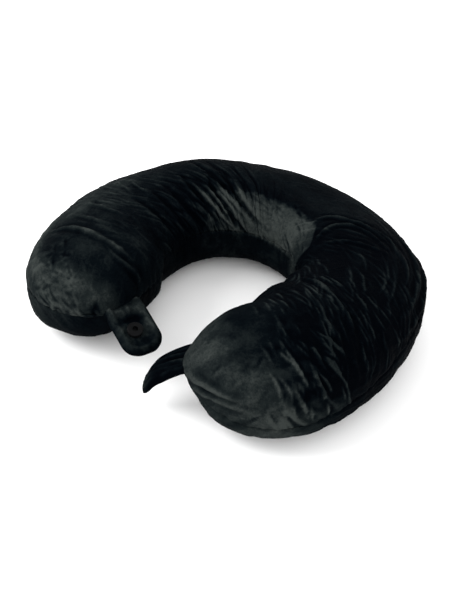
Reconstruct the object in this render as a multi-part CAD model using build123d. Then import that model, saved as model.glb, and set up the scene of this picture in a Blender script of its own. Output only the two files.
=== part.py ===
from build123d import *
from math import cos, degrees, radians, sin, sqrt
import os

# U shaped neck pillow. Millimetres, +Z up, the opening of the U faces -Y.
# The origin is the middle of the bounding box on the resting face.

# --- plan of the U ---------------------------------------------------------
ARC_Y = -16.83           # Y of the centre of the U, which centres the bounding box
SPINE_R = 102.5          # plan radius of the middle of the roll
BACK_ANGLE = 60.0        # half angle of the back, where the section is constant
END_ANGLE = 158.5        # half angle at the extreme of each lobe
LOBE_ROUND = 68.0        # length along the roll over which a lobe rounds off
TIP_PULL = 4.5           # how far the lobe tips turn in towards the neck

# --- section of the roll ---------------------------------------------------
BACK_HALF_WIDTH = 48.0   # half width across the roll at the back
LOBE_HALF_WIDTH = 55.0   # the same at the lobes
BACK_HEIGHT = 74.0       # crown height at the back
LOBE_HEIGHT = 86.0       # crown height at the lobes
CROWN_SHIFT = 10.0       # the crown line lies this far inside the middle
FOOT_FLAT = 0.3          # flat share of the half width under the roll
WALL_Z = 26.0            # the side walls stand upright from here to the seam
SEAM_Z = 44.0            # seam between the top panel and the side bands
FOOT_SEAM_Z = 5.0        # seam between the side bands and the bottom panel
TIP_SHARE = 0.3          # size of the small flat at a lobe tip, share of section

# --- layers, measured inwards from the outside face -------------------------
COVER_T = 1.6            # velvet cover with its backing
LINER_T = 0.8            # knitted liner round the foam

# --- zipper in the outer band at the back -----------------------------------
ZIP_Z = 34.0             # height of the middle of the zipper
ZIP_ANGLE = 48.0         # half angle of the tapes
ZIP_SLOT = 9.4           # opening in the band that shows the coils
TAPE_W = 7.0             # one tape
TAPE_T = 0.5
COIL_W = 2.2             # one coil
COIL_T = 1.4
ZIP_SLIT = 1.4           # slit between the two tapes, room for the slider wedge
SLIDER_ANGLE = -43.0     # slider at rest, zipper closed
SLIDER_L = 9.0
SLIDER_W = 8.6
PULL_L = 22.0
PULL_W = 7.0
PULL_AXIS_OUT = 2.6      # pull pivot, outside the face of the cover
LABEL_ANGLE = -54.5      # blank care label hanging from the seam
LABEL_W = 20.0
LABEL_H = 18.0
LABEL_T = 0.35

# --- fastening tabs ----------------------------------------------------------
TAB_T = 2.2              # one layer of a tab
TAB_GAP = 0.4            # clearance between a tab root and the lobe tip
SNAP_OUT = 20.2          # snap centre from the pivot
LEFT_TAB = dict(side=-1, width=29.0, tip=13.5, length=39.5, droop=20.0, skew=2.0, shift=5.0)
RIGHT_TAB = dict(side=1, width=29.0, tip=9.0, length=40.0, droop=32.0, skew=12.0, shift=4.0)

# --- plastic snaps -----------------------------------------------------------
CAP_D = 12.4
CAP_T = 0.9
POST_D = 3.2
SNAP_D = 12.0
SOCKET_T = 3.2
BORE_D = 4.4
BORE_DEPTH = 2.4
STUD_BASE_T = 1.2
NUB_D = 4.1
NUB_H = 2.0

OUTER_R = SPINE_R + BACK_HALF_WIDTH
BEZIER = 0.5523          # handle length of a quarter arc


# --- the roll ----------------------------------------------------------------
def lobe_share(angle):
    """0 over the back, rising smoothly to 1 at the lobe tip."""
    g = (angle - BACK_ANGLE) / (END_ANGLE - BACK_ANGLE)
    g = min(max(g, 0.0), 1.0)
    return g * g * (3 - 2 * g)


def radial_plane(angle, radius):
    """Plane across the roll: X outwards, Y up."""
    s = sin(radians(angle))
    c = cos(radians(angle))
    return Plane(origin=(radius * s, radius * c, 0), x_dir=(s, c, 0), z_dir=(c, -s, 0))


def quarter(plane, x0, z0, x1, z1, upright_first):
    """Quarter ellipse from (x0, z0) to (x1, z1) in a radial plane."""
    if upright_first:
        h0 = (x0, z0 + BEZIER * (z1 - z0))
        h1 = (x1 + (1 - BEZIER) * (x0 - x1), z1)
    else:
        h0 = (x0 + BEZIER * (x1 - x0), z0)
        h1 = (x1, z1 + (1 - BEZIER) * (z0 - z1))
    points = [(x0, z0), h0, h1, (x1, z1)]
    return Edge.make_bezier(*[plane.from_local_coords(Vector(x, z, 0)) for x, z in points])


def straight(plane, x0, z0, x1, z1):
    a = plane.from_local_coords(Vector(x0, z0, 0))
    b = plane.from_local_coords(Vector(x1, z1, 0))
    return Edge.make_line(a, b)


def section(angle, side, along, inset):
    """Outline of the roll; along runs 0 to 1 over the rounding of the lobe."""
    share = lobe_share(angle)
    shrink = sqrt(1 - along * along)
    rise = shrink ** 0.8
    half = BACK_HALF_WIDTH + share * (LOBE_HALF_WIDTH - BACK_HALF_WIDTH)
    half = (half - inset) * shrink
    height = BACK_HEIGHT + share * (LOBE_HEIGHT - BACK_HEIGHT) - inset
    top = SEAM_Z + (height - SEAM_Z) * rise
    wall = SEAM_Z - (SEAM_Z - WALL_Z) * rise
    foot = SEAM_Z - (SEAM_Z - inset) * shrink ** 0.65
    flat = FOOT_FLAT * half
    crown = -CROWN_SHIFT * shrink
    plane = radial_plane(side * angle, SPINE_R - TIP_PULL * along * along)
    edges = [
        straight(plane, -flat, foot, flat, foot),
        quarter(plane, flat, foot, half, wall, False),
        straight(plane, half, wall, half, SEAM_Z),
        quarter(plane, half, SEAM_Z, crown, top, True),
        quarter(plane, crown, top, -half, SEAM_Z, False),
        straight(plane, -half, SEAM_Z, -half, wall),
        quarter(plane, -half, wall, -flat, foot, True),
    ]
    return Wire(edges)


def lobe_stations(inset):
    """(angle, along) of the sections from the back out to the lobe tip."""
    start = END_ANGLE - degrees(LOBE_ROUND / SPINE_R)
    steps = [(BACK_ANGLE + k * (start - BACK_ANGLE) / 4, 0.0) for k in range(4)]
    last = sqrt(1 - TIP_SHARE * TIP_SHARE)
    turn = degrees((LOBE_ROUND - inset) / SPINE_R)
    for k in range(7):
        along = sin(radians(72.54 * k / 6)) * last / sin(radians(72.54))
        steps.append((start + turn * along, along))
    return steps


def arm(side, inset):
    wires = [section(a, side, u, inset) for a, u in lobe_stations(inset)]
    return Solid.make_loft(wires, False)


def roll(inset):
    """The whole U, inset from the outside face of the cover."""
    outline = Face(section(BACK_ANGLE, -1, 0.0, inset))
    back = revolve(outline, Axis.Z, -2 * BACK_ANGLE)
    return back + arm(-1, inset) + arm(1, inset)


def slab(z0, z1):
    """Level block wider than the pillow between two heights."""
    return Pos(0, 0, (z0 + z1) / 2) * Box(500, 500, z1 - z0)


# --- arcs on the upright wall of the back --------------------------------------
def wall_strip(r0, r1, z0, z1, a0, a1):
    """Strip on the back wall between two radii, heights and angles."""
    plane = radial_plane(a0, 0)
    corners = [(r0, z0), (r1, z0), (r1, z1), (r0, z1)]
    points = [plane.from_local_coords(Vector(r, z, 0)) for r, z in corners]
    return revolve(Face(Wire.make_polygon(points)), Axis.Z, -(a1 - a0))


def zip_strip(depth0, depth1, below, above, a0=-ZIP_ANGLE, a1=ZIP_ANGLE):
    return wall_strip(OUTER_R - depth1, OUTER_R - depth0, ZIP_Z + below, ZIP_Z + above, a0, a1)


def zip_dent(extra):
    """Hollow pressed into liner and foam behind the tapes and the slider."""
    pad = extra / OUTER_R * 57.3
    a = ZIP_ANGLE + 0.2 + pad
    reach = ZIP_SLIT / 2 + TAPE_W + 0.2 + extra
    tapes = zip_strip(-1, COVER_T + TAPE_T + extra, -reach, reach, -a, a)
    slider = zip_strip(-1, 3.8 + extra, -5.2 - extra, 5.2 + extra, -a, a)
    return tapes + slider


def tape(side):
    low, high = sorted((side * ZIP_SLIT / 2, side * (ZIP_SLIT / 2 + TAPE_W)))
    return zip_strip(COVER_T, COVER_T + TAPE_T, low, high)


def coil(side):
    low, high = sorted((side * ZIP_SLIT / 2, side * (ZIP_SLIT / 2 + COIL_W)))
    bar = zip_strip(COVER_T - COIL_T, COVER_T, low, high)
    edges = bar.edges().filter_by(GeomType.CIRCLE)
    outer = [e for e in edges if e.radius > OUTER_R - COVER_T + 0.5]
    return fillet(outer, 0.5)


def stop_clip(low, high, a0, a1):
    """Metal clip closed round the coils."""
    block = zip_strip(-0.4, COVER_T, low, high, a0, a1)
    coils = zip_strip(COVER_T - COIL_T, COVER_T + 1, -ZIP_SLIT / 2 - COIL_W, ZIP_SLIT / 2 + COIL_W)
    return block - coils


# --- slider and pull, drawn at angle 0 and turned to their place ---------------
def at_slider(shape):
    return Rot(0, 0, -SLIDER_ANGLE) * shape


def brick(x0, x1, out0, out1, z0, z1):
    """Block on the wall: x along the zipper, out measured from the cover face."""
    y0 = OUTER_R + out0
    y1 = OUTER_R + out1
    centre = ((x0 + x1) / 2, (y0 + y1) / 2, ZIP_Z + (z0 + z1) / 2)
    return Pos(*centre) * Box(x1 - x0, y1 - y0, z1 - z0)


def slider():
    half_l = SLIDER_L / 2
    half_w = SLIDER_W / 2
    face = brick(-half_l, half_l, 0.1, 1.4, -half_w, half_w)
    face = fillet(face.edges().filter_by(Axis.Y), 1.6)
    rear = brick(-half_l, half_l, -3.4, -2.4, -half_w, half_w)
    rear = fillet(rear.edges().filter_by(Axis.Y), 1.6)
    lips = brick(-2.8, 2.8, -1.2, 0.2, half_w - 0.9, half_w)
    lips += brick(-2.8, 2.8, -1.2, 0.2, -half_w, 0.9 - half_w)
    wedge = brick(half_l - 3.4, half_l - 0.9, -2.5, 0.2, -0.4, 0.4)
    crown = brick(-3.2, 3.2, 1.3, 4.8, -1.3, 1.3)
    crown = fillet(crown.edges().filter_by(Axis.Z).group_by(Axis.Y)[-1], 1.5)
    crown -= brick(-2.0, 2.0, 1.4, 3.6, -2, 2)
    return face + rear + lips + wedge + crown


def pull():
    plate = brick(4.2, PULL_L, 1.9, 3.3, -PULL_W / 2, PULL_W / 2)
    plate = fillet(plate.edges().filter_by(Axis.Y).group_by(Axis.X)[-1], 3.0)
    arms = brick(0, 4.4, 1.9, 3.3, 2.2, PULL_W / 2)
    arms += brick(0, 4.4, 1.9, 3.3, -PULL_W / 2, -2.2)
    bar = Pos(0, OUTER_R + PULL_AXIS_OUT, ZIP_Z) * Cylinder(0.55, PULL_W)
    knuckles = Pos(0, OUTER_R + PULL_AXIS_OUT, ZIP_Z + 2.85) * Cylinder(0.7, 1.3)
    knuckles += Pos(0, OUTER_R + PULL_AXIS_OUT, ZIP_Z - 2.85) * Cylinder(0.7, 1.3)
    grip = Pos(PULL_L - 4.5, OUTER_R + 2.6, ZIP_Z) * Rot(90, 0, 0) * Cylinder(1.4, 4)
    return plate + arms + bar + knuckles - grip


# --- tabs ----------------------------------------------------------------------
def tab_plane(side, droop, shift):
    """X along the tab away from the lobe, Y across, Z out of its upper face."""
    angle, along = lobe_stations(0)[-1]
    radius = SPINE_R - TIP_PULL * along * along
    s = side * sin(radians(angle))
    c = cos(radians(angle))
    tx = side * c
    ty = -side * s
    out = TAB_T + TAB_GAP
    origin = (radius * s + out * tx - shift * ty, radius * c + out * ty + shift * tx, SEAM_Z)
    level = cos(radians(droop))
    drop = sin(radians(droop))
    x_dir = (tx * level, ty * level, -drop)
    z_dir = (tx * drop, ty * drop, level)
    return Plane(origin=origin, x_dir=x_dir, z_dir=z_dir)


def tab_layer(width, tip, length, skew, upper):
    """One layer of a tab in its own plane, with a half round root."""
    lean = sin(radians(skew))
    end = length - tip
    mid = end * lean
    outline = Polyline((0, -width / 2), (end, mid - tip), (end, mid + tip), (0, width / 2), close=True)
    shape = make_face(outline) + Pos(end, mid) * Circle(tip)
    z = TAB_T if upper else -TAB_T
    layer = extrude(shape, z)
    root = Rot(90, 0, 0) * Cylinder(TAB_T, width)
    keep = Pos(-TAB_T, 0, z / 2) * Box(2 * TAB_T, width, TAB_T)
    rim = layer.faces().sort_by(Axis.Z)[-1 if upper else 0].edges()
    rim = [e for e in rim if e.center().X > 0.1]
    return fillet(rim, 1.2) + (root & keep)


def cap(upper):
    """Snap cap lying between the layers with its post through one of them."""
    sign = 1 if upper else -1
    reach = TAB_T + (SOCKET_T - BORE_DEPTH if upper else STUD_BASE_T)
    disc = Pos(0, 0, sign * CAP_T / 2) * Cylinder(CAP_D / 2, CAP_T)
    post = Pos(0, 0, sign * reach / 2) * Cylinder(POST_D / 2, reach)
    return disc + post


def socket():
    body = Pos(0, 0, TAB_T + SOCKET_T / 2) * Cylinder(SNAP_D / 2, SOCKET_T)
    body = fillet(body.edges().sort_by(Axis.Z)[-1], 0.8)
    bore = Pos(0, 0, TAB_T + SOCKET_T - BORE_DEPTH / 2) * Cylinder(BORE_D / 2, BORE_DEPTH)
    return body - bore - cap(True)


def stud():
    base = Pos(0, 0, -TAB_T - STUD_BASE_T / 2) * Cylinder(SNAP_D / 2, STUD_BASE_T)
    base = fillet(base.edges().sort_by(Axis.Z)[0], 0.5)
    nub = Pos(0, 0, -TAB_T - STUD_BASE_T - NUB_H / 2) * Cylinder(NUB_D / 2, NUB_H)
    nub = chamfer(nub.edges().sort_by(Axis.Z)[0], 0.4)
    return base + nub - cap(False)


def tab_parts(name, spec, upper_snap):
    width, tip, length, skew = (spec[k] for k in ("width", "tip", "length", "skew"))
    place = tab_plane(spec["side"], spec["droop"], spec["shift"]).location
    spot = Pos(SNAP_OUT, SNAP_OUT * sin(radians(skew)), 0)
    face = tab_layer(width, tip, length, skew, True)
    back = tab_layer(width, tip, length, skew, False)
    rivet = spot * cap(upper_snap)
    half = spot * (socket() if upper_snap else stud())
    if upper_snap:
        face -= rivet
    else:
        back -= rivet
    shapes = {
        name + "_tab_face": face,
        name + "_tab_back": back,
        name + "_snap_cap": rivet,
        name + ("_snap_socket" if upper_snap else "_snap_stud"): half,
    }
    return {key: place * value for key, value in shapes.items()}


# --- the assembly ----------------------------------------------------------------
def soft_parts():
    outside = roll(0)
    lining = roll(COVER_T)
    core = roll(COVER_T + LINER_T)
    cover = outside - lining
    liner = (lining - zip_dent(0)) - (core - zip_dent(LINER_T))
    side_band = cover & slab(FOOT_SEAM_Z, SEAM_Z)
    divider = Pos(0, 0, SEAM_Z / 2) * Cylinder(SPINE_R - TIP_PULL, 200)
    slot = zip_strip(-2, COVER_T + 2, -ZIP_SLOT / 2, ZIP_SLOT / 2)
    return {
        "foam_core": core - zip_dent(LINER_T),
        "liner_upper_panel": liner & slab(SEAM_Z, 200),
        "liner_lower_panel": liner & slab(-10, SEAM_Z),
        "cover_top_panel": cover & slab(SEAM_Z, 200),
        "cover_outer_band": side_band - divider - slot,
        "cover_inner_band": side_band & divider,
        "cover_bottom_panel": cover & slab(-10, FOOT_SEAM_Z),
    }


def zip_parts():
    top = COIL_W + ZIP_SLIT / 2 + 0.4
    a = ZIP_ANGLE
    stops = stop_clip(0.5, top, -a + 0.6, -a + 1.6) + stop_clip(-top, -0.5, -a + 0.6, -a + 1.6)
    label = wall_strip(OUTER_R, OUTER_R + LABEL_T, SEAM_Z - LABEL_H, SEAM_Z,
                       LABEL_ANGLE - degrees(LABEL_W / 2 / OUTER_R),
                       LABEL_ANGLE + degrees(LABEL_W / 2 / OUTER_R))
    return {
        "zipper_tape_upper": tape(1),
        "zipper_tape_lower": tape(-1),
        "zipper_coil_upper": coil(1),
        "zipper_coil_lower": coil(-1),
        "zipper_top_stops": stops,
        "zipper_bottom_stop": stop_clip(-top, top, a - 1.6, a - 0.6),
        "zipper_slider": at_slider(slider()),
        "zipper_pull": at_slider(pull()),
        "care_label": label,
    }


def main():
    os.makedirs("parts", exist_ok=True)
    nodes = soft_parts()
    nodes.update(zip_parts())
    nodes.update(tab_parts("left", LEFT_TAB, True))
    nodes.update(tab_parts("right", RIGHT_TAB, False))
    shift = Pos(0, ARC_Y, 0)
    for name, shape in nodes.items():
        export_step(shift * shape, "parts/" + name + ".step")


main()
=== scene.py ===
import math
import bmesh
import bpy
import numpy as np
from mathutils import Matrix, Vector


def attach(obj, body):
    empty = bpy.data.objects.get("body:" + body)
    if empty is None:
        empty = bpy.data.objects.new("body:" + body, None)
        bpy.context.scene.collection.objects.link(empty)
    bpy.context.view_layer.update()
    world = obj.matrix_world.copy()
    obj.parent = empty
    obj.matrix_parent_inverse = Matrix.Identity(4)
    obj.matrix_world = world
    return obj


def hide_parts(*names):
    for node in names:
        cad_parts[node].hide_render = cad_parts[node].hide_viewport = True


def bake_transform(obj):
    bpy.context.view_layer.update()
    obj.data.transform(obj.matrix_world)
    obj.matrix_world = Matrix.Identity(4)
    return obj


# U shaped neck pillow. Shapes are worked out in millimetres and stored in metres.
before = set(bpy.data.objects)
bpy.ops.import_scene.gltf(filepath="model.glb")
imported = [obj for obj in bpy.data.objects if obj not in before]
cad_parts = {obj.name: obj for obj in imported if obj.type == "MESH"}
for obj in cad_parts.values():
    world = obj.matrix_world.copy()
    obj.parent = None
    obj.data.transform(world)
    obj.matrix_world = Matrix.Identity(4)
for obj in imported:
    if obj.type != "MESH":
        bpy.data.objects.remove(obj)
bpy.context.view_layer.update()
MM = 0.001

# --- form of the roll, as the CAD model has it ---
ARC_Y = -16.83  # centre of the arc that the roll follows
SPINE_R = 102.5
BACK_ANGLE = 60.0  # signed angles are 0 at the back, above zero on the right
END_ANGLE = 158.5
LOBE_ROUND = 68.0
TIP_PULL = 4.5
HALF_BACK, HALF_LOBE = 48.0, 55.0
TOP_BACK, TOP_LOBE = 74.0, 86.0
CROWN_SHIFT = 10.0
FOOT_FLAT = 0.3
WALL_Z = 26.0
SEAM_Z = 44.0
FOOT_Z = 5.0
SEAM_SAG = 17.0  # how far the seam hangs on the outside of the right lobe
TIP_TURN = 0.965  # share of the tip's rounding that the roll really turns
INSET_TURN = 2.2
LIFT_ROWS = 10  # rows from the hanging seam up to the level of the others
TIP_SHARE = 0.3  # share of the section left where a tab is rooted
OUTER_R = SPINE_R + HALF_BACK
ZIP_Z = 34.0
ZIP_ANGLE = 48.0
TURN = math.degrees(LOBE_ROUND / SPINE_R)
START = END_ANGLE - TURN
FINE = 1.0


def smooth(a, b, x):
    """0 on a's side, 1 on b's side, a soft rise between them."""
    t = np.clip((x - a) / (b - a), 0, 1)
    return t * t * (3 - 2 * t)


def bump_at(x, centre, width):
    """1 at the centre, fading to both sides."""
    return np.exp(-(((x - centre) / width) ** 2))


# --- smooth random fields ---
def noise(x, y, seed):
    """Gradient noise, about -1 to 1, one cell per unit."""
    ix = np.floor(x).astype(np.int64)
    iy = np.floor(y).astype(np.int64)
    fx, fy = x - ix, y - iy
    u = fx * fx * fx * (fx * (fx * 6 - 15) + 10)
    v = fy * fy * fy * (fy * (fy * 6 - 15) + 10)

    def corner(dx, dy):
        h = ((ix + dx) * 374761393 + (iy + dy) * 668265263 + seed * 974634777) & 0x7FFFFFFF
        h = ((h ^ (h >> 13)) * 1274126177) & 0x7FFFFFFF
        angle = ((h ^ (h >> 16)) & 0xFFFF) / 65535.0 * 2 * math.pi
        return np.cos(angle) * (fx - dx) + np.sin(angle) * (fy - dy)

    low = corner(0, 0) * (1 - u) + corner(1, 0) * u
    high = corner(0, 1) * (1 - u) + corner(1, 1) * u
    return (low * (1 - v) + high * v) * 1.5


def creases(s, t, lean, length, pitch, seed, sharp=0.13, cover=0.0):
    """Thin broken lines lying along the direction lean (degrees from the run of the roll)."""
    c, d = math.cos(math.radians(lean)), math.sin(math.radians(lean))
    u = (s * c + t * d) / length
    v = (-s * d + t * c) / pitch
    v = v + 0.8 * noise(u * 0.8 + 3.1, v * 0.25 + 1.7, seed + 7)
    n = noise(u, v, seed)
    line = np.exp(-((n / sharp) ** 2))
    part = smooth(-0.15 - cover, 0.35 - cover, noise(u * 1.1 + 11.3, v * 0.5 + 5.9, seed + 3))
    return line * part, n


# --- the section of the roll ---
def lobe_share(angle):
    """0 along the back, 1 at the end of a lobe."""
    g = np.clip((angle - BACK_ANGLE) / (END_ANGLE - BACK_ANGLE), 0, 1)
    return g * g * (3 - 2 * g)


def column_list(main, cap, inset=0.0):
    """Signed angle and rounding of every column, from the left lobe tip to the right one."""
    phi = np.linspace(0, math.pi / 2, cap + 1)[1:]
    u = np.sin(phi)
    right_a = START + TURN * TIP_TURN * (1 - INSET_TURN * inset / LOBE_ROUND) * u
    body = np.linspace(-START, START, main)
    angle = np.concatenate([-right_a[::-1], body, right_a])
    along = np.concatenate([u[::-1], np.zeros(main), u])
    return angle, along


def seam_drop(angle):
    """The seam sags on the outside of the right lobe."""
    return SEAM_SAG * smooth(75, 135, angle)


def sections(angle, along, inset=0.0, rows=(120, 44, 56, 52)):
    """Closed rows of the roll: over the top from the outer seam, down the neck side, under and up again."""
    share = lobe_share(np.abs(angle))
    shrink = np.sqrt(np.clip(1 - along * along, 0, 1))
    rise = shrink ** 0.8
    half = (HALF_BACK + share * (HALF_LOBE - HALF_BACK) - inset) * shrink
    top = SEAM_Z + (TOP_BACK + share * (TOP_LOBE - TOP_BACK) - inset - SEAM_Z) * rise
    wall = SEAM_Z - (SEAM_Z - WALL_Z) * rise
    foot = SEAM_Z - (SEAM_Z - inset) * shrink ** 0.65
    flat = FOOT_FLAT * half
    crown = -CROWN_SHIFT * shrink
    seam = SEAM_Z - seam_drop(angle) * rise
    foot_z = np.maximum(FOOT_Z + inset, foot)
    theta = np.arcsin(np.clip((wall - foot_z) / np.maximum(wall - foot, 1e-9), 0, 1))
    n_top, n_in, n_under, n_out = rows
    xs, zs = [], []

    def add(x, z):
        xs.append(x)
        zs.append(z)

    for k in range(LIFT_ROWS):
        f = k / LIFT_ROWS
        add(half, seam + (SEAM_Z - seam) * f)
    for k in range(n_top - LIFT_ROWS):
        psi = math.pi * k / (n_top - LIFT_ROWS)
        c = math.cos(psi)
        reach = np.where(c > 0, half - crown, half + crown)
        add(crown + reach * c, SEAM_Z + (top - SEAM_Z) * math.sin(psi))
    straight = n_in // 3
    for k in range(straight):
        f = k / straight
        add(-half, SEAM_Z + (wall - SEAM_Z) * f)
    for k in range(n_in - straight):
        q = theta * k / (n_in - straight)
        add(-(flat + (half - flat) * np.cos(q)), wall - (wall - foot) * np.sin(q))
    side = n_under // 4
    for k in range(side):
        q = theta + (math.pi / 2 - theta) * k / side
        add(-(flat + (half - flat) * np.cos(q)), wall - (wall - foot) * np.sin(q))
    level = n_under - 2 * side
    for k in range(level):
        add(-flat + 2 * flat * k / level, foot)
    for k in range(side):
        q = math.pi / 2 - (math.pi / 2 - theta) * k / side
        add(flat + (half - flat) * np.cos(q), wall - (wall - foot) * np.sin(q))
    straight = n_out // 3
    for k in range(n_out - straight):
        q = theta * (1 - k / (n_out - straight))
        add(flat + (half - flat) * np.cos(q), wall - (wall - foot) * np.sin(q))
    for k in range(straight):
        f = k / straight
        add(half, wall + (seam - wall) * f)
    x = np.array(xs).T
    z = np.array(zs).T
    radius = SPINE_R - TIP_PULL * along * along
    a = np.radians(angle)[:, None]
    r = radius[:, None] + x
    return np.stack([r * np.sin(a), r * np.cos(a) + ARC_Y, z], axis=-1)


def outward(grid):
    """Unit directions out of the roll at every point."""
    n = normals(grid)
    centre = grid.mean(axis=1, keepdims=True)
    return -n if ((grid - centre) * n).sum(axis=-1).mean() < 0 else n


def normals(grid):
    """Unit normals of a grid that is closed round the roll."""
    du = np.gradient(grid, axis=0)
    wrapped = np.concatenate([grid[:, -1:], grid, grid[:, :1]], axis=1)
    dv = (wrapped[:, 2:] - wrapped[:, :-2]) / 2
    n = np.cross(du, dv)
    size = np.linalg.norm(n, axis=-1, keepdims=True)
    n = n / np.maximum(size, 1e-9)
    weak = size[..., 0] < 1e-6
    for end, neighbour in ((0, 1), (-1, -2)):
        if weak[end].any():
            n[end] = n[neighbour].mean(axis=0)
            n[end] /= np.linalg.norm(n[end], axis=-1, keepdims=True) + 1e-9
    return n


# Swells: angle and its spread, place round the section (0 outer seam, 90 crown, 180 neck seam)
# and its spread, height.
SWELLS = (
    (-137, 11, 5, 45, 4.0), (-50, 14, 75, 40, 2.2), (4, 25, 75, 38, -4.8), (61, 17, 8, 50, 4.5),
    (104, 20, 335, 34, -1.5), (84, 14, 150, 28, 6.4), (133, 18, 138, 34, -5.8), (46, 20, 215, 26, -4.6),
    (-118, 18, 212, 36, -5.0), (-144, 13, 222, 36, -5.8), (-20, 34, 212, 26, -2.2), (-20, 26, 120, 30, 0.8),
    (-50, 24, 56, 38, 2.0), (20, 22, 54, 40, -2.4), (-146, 8, 325, 34, -2.2), (151, 10, 20, 50, 1.0),
    (148, 14, 330, 40, 0.8), (109, 13, 142, 32, 5.6),
)


def place_around(rows, count):
    """Degrees round the section for every row."""
    n_top, n_in, n_under, n_out = rows
    j = np.arange(count, dtype=float)
    marks = [0, n_top * 0.08, n_top, n_top + n_in, n_top + n_in + n_under, sum(rows)]
    return np.interp(j, marks, [0, 0, 180, 225, 315, 360])


def shape_roll(grid, angle, rows):
    """Small departures of the stuffed roll from the even CAD form."""
    n = outward(grid)
    p = place_around(rows, grid.shape[1])[None, :]
    a = angle[:, None]
    swell = np.zeros(grid.shape[:2])
    for centre, spread, spot, reach, height in SWELLS:
        gap = np.abs((p - spot + 180) % 360 - 180)
        swell += height * np.exp(-(((a - centre) / spread) ** 2) - (gap / reach) ** 2)
    # the wall round the zipper keeps the even CAD form, so no swell comes in the slider's way
    z = grid[..., 2]
    wall = (p >= 315) * (1 - smooth(49, 58, np.abs(a))) * smooth(14, 24, z) * (1 - smooth(38.5, 43.5, z))
    move = n * (swell * (1 - wall))[..., None]
    # the base goes along with the foot seams on both its sides
    n_top, n_in, n_under, n_out = rows
    first, last = n_top + n_in, n_top + n_in + n_under
    share = np.linspace(0, 1, n_under + 1)[None, :, None]
    neck_part = move[:, first:first + 1] * (1 - share) ** 2
    move[:, first:last + 1] = neck_part + move[:, last:last + 1] * share ** 2
    out = grid + move
    out[..., 2] = np.maximum(out[..., 2], np.minimum(grid[..., 2], 0.3))
    return out


def new_object(name, data):
    obj = bpy.data.objects.new(name, data)
    bpy.context.scene.collection.objects.link(obj)
    return obj


def quads_of(m, n, closed):
    """Corners of the quads of a grid of m by n points, closed round n or open."""
    i, j = np.meshgrid(np.arange(m - 1), np.arange(n if closed else n - 1), indexing="ij")
    k = (j + 1) % n
    return np.stack([i * n + j, (i + 1) * n + j, (i + 1) * n + k, i * n + k], axis=-1).reshape(-1, 4)


# --- crumple of the cover: a short cloth simulation ---
SIM_COLS, SIM_ROWS = (180, 16), (56, 12, 12, 16)
SIM_POINTS = 96  # quads round the roll
SIM_TRIM = 3  # columns left off at each lobe tip
SIM_FRAMES = 14
SIM_GROWTH = 0.02  # how much too large the cover is
SIM_PRESSURE = 10.0
SIM_BEND = 0.02
SIM_CAP = 1.3  # most that a small fold may stand out, in millimetres
SIM_FINEST, SIM_WIDEST = 0.7, 4.5


def share_round(grid):
    """How far round its own section each point lies, 0 to 1 from the first row."""
    step = np.linalg.norm(np.roll(grid, -1, axis=1) - grid, axis=-1)
    run = np.concatenate([np.zeros((len(grid), 1)), np.cumsum(step, axis=1)], axis=1)
    return run / run[:, -1:]


def blurred(field, width):
    """The field smoothed by a bell of this width, in cells."""
    fx = np.fft.fftfreq(field.shape[0])[:, None]
    fy = np.fft.fftfreq(field.shape[1])[None, :]
    keep = np.exp(-2 * (math.pi * width) ** 2 * (fx * fx + fy * fy))
    return np.fft.ifft2(np.fft.fft2(field) * keep).real


def between(p0, p1, p2, p3, f):
    """Catmull-Rom value at the fraction f from p1 to p2."""
    return p1 + 0.5 * f * (p2 - p0 + f * (2 * p0 - 5 * p1 + 4 * p2 - p3 + f * (3 * (p1 - p2) + p3 - p0)))


def sim_cover():
    """The cover as an open tube of even quads, with the places of its four seams."""
    angle, along = column_list(*SIM_COLS)
    roll = shape_roll(sections(angle, along, 0.0, SIM_ROWS), angle, SIM_ROWS)[SIM_TRIM:-SIM_TRIM]
    share = share_round(roll)
    loop = np.concatenate([roll, roll[:, :1]], axis=1)
    want = np.arange(SIM_POINTS) / SIM_POINTS
    tube = []
    for i in range(len(roll)):
        tube.append(np.stack([np.interp(want, share[i], loop[i, :, k]) for k in range(3)], axis=-1))
    n_top, n_in, n_under, n_out = SIM_ROWS
    marks = share[:, [0, n_top, n_top + n_in, n_top + n_in + n_under]] * SIM_POINTS
    return angle[SIM_TRIM:-SIM_TRIM], np.stack(tube), marks


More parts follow.
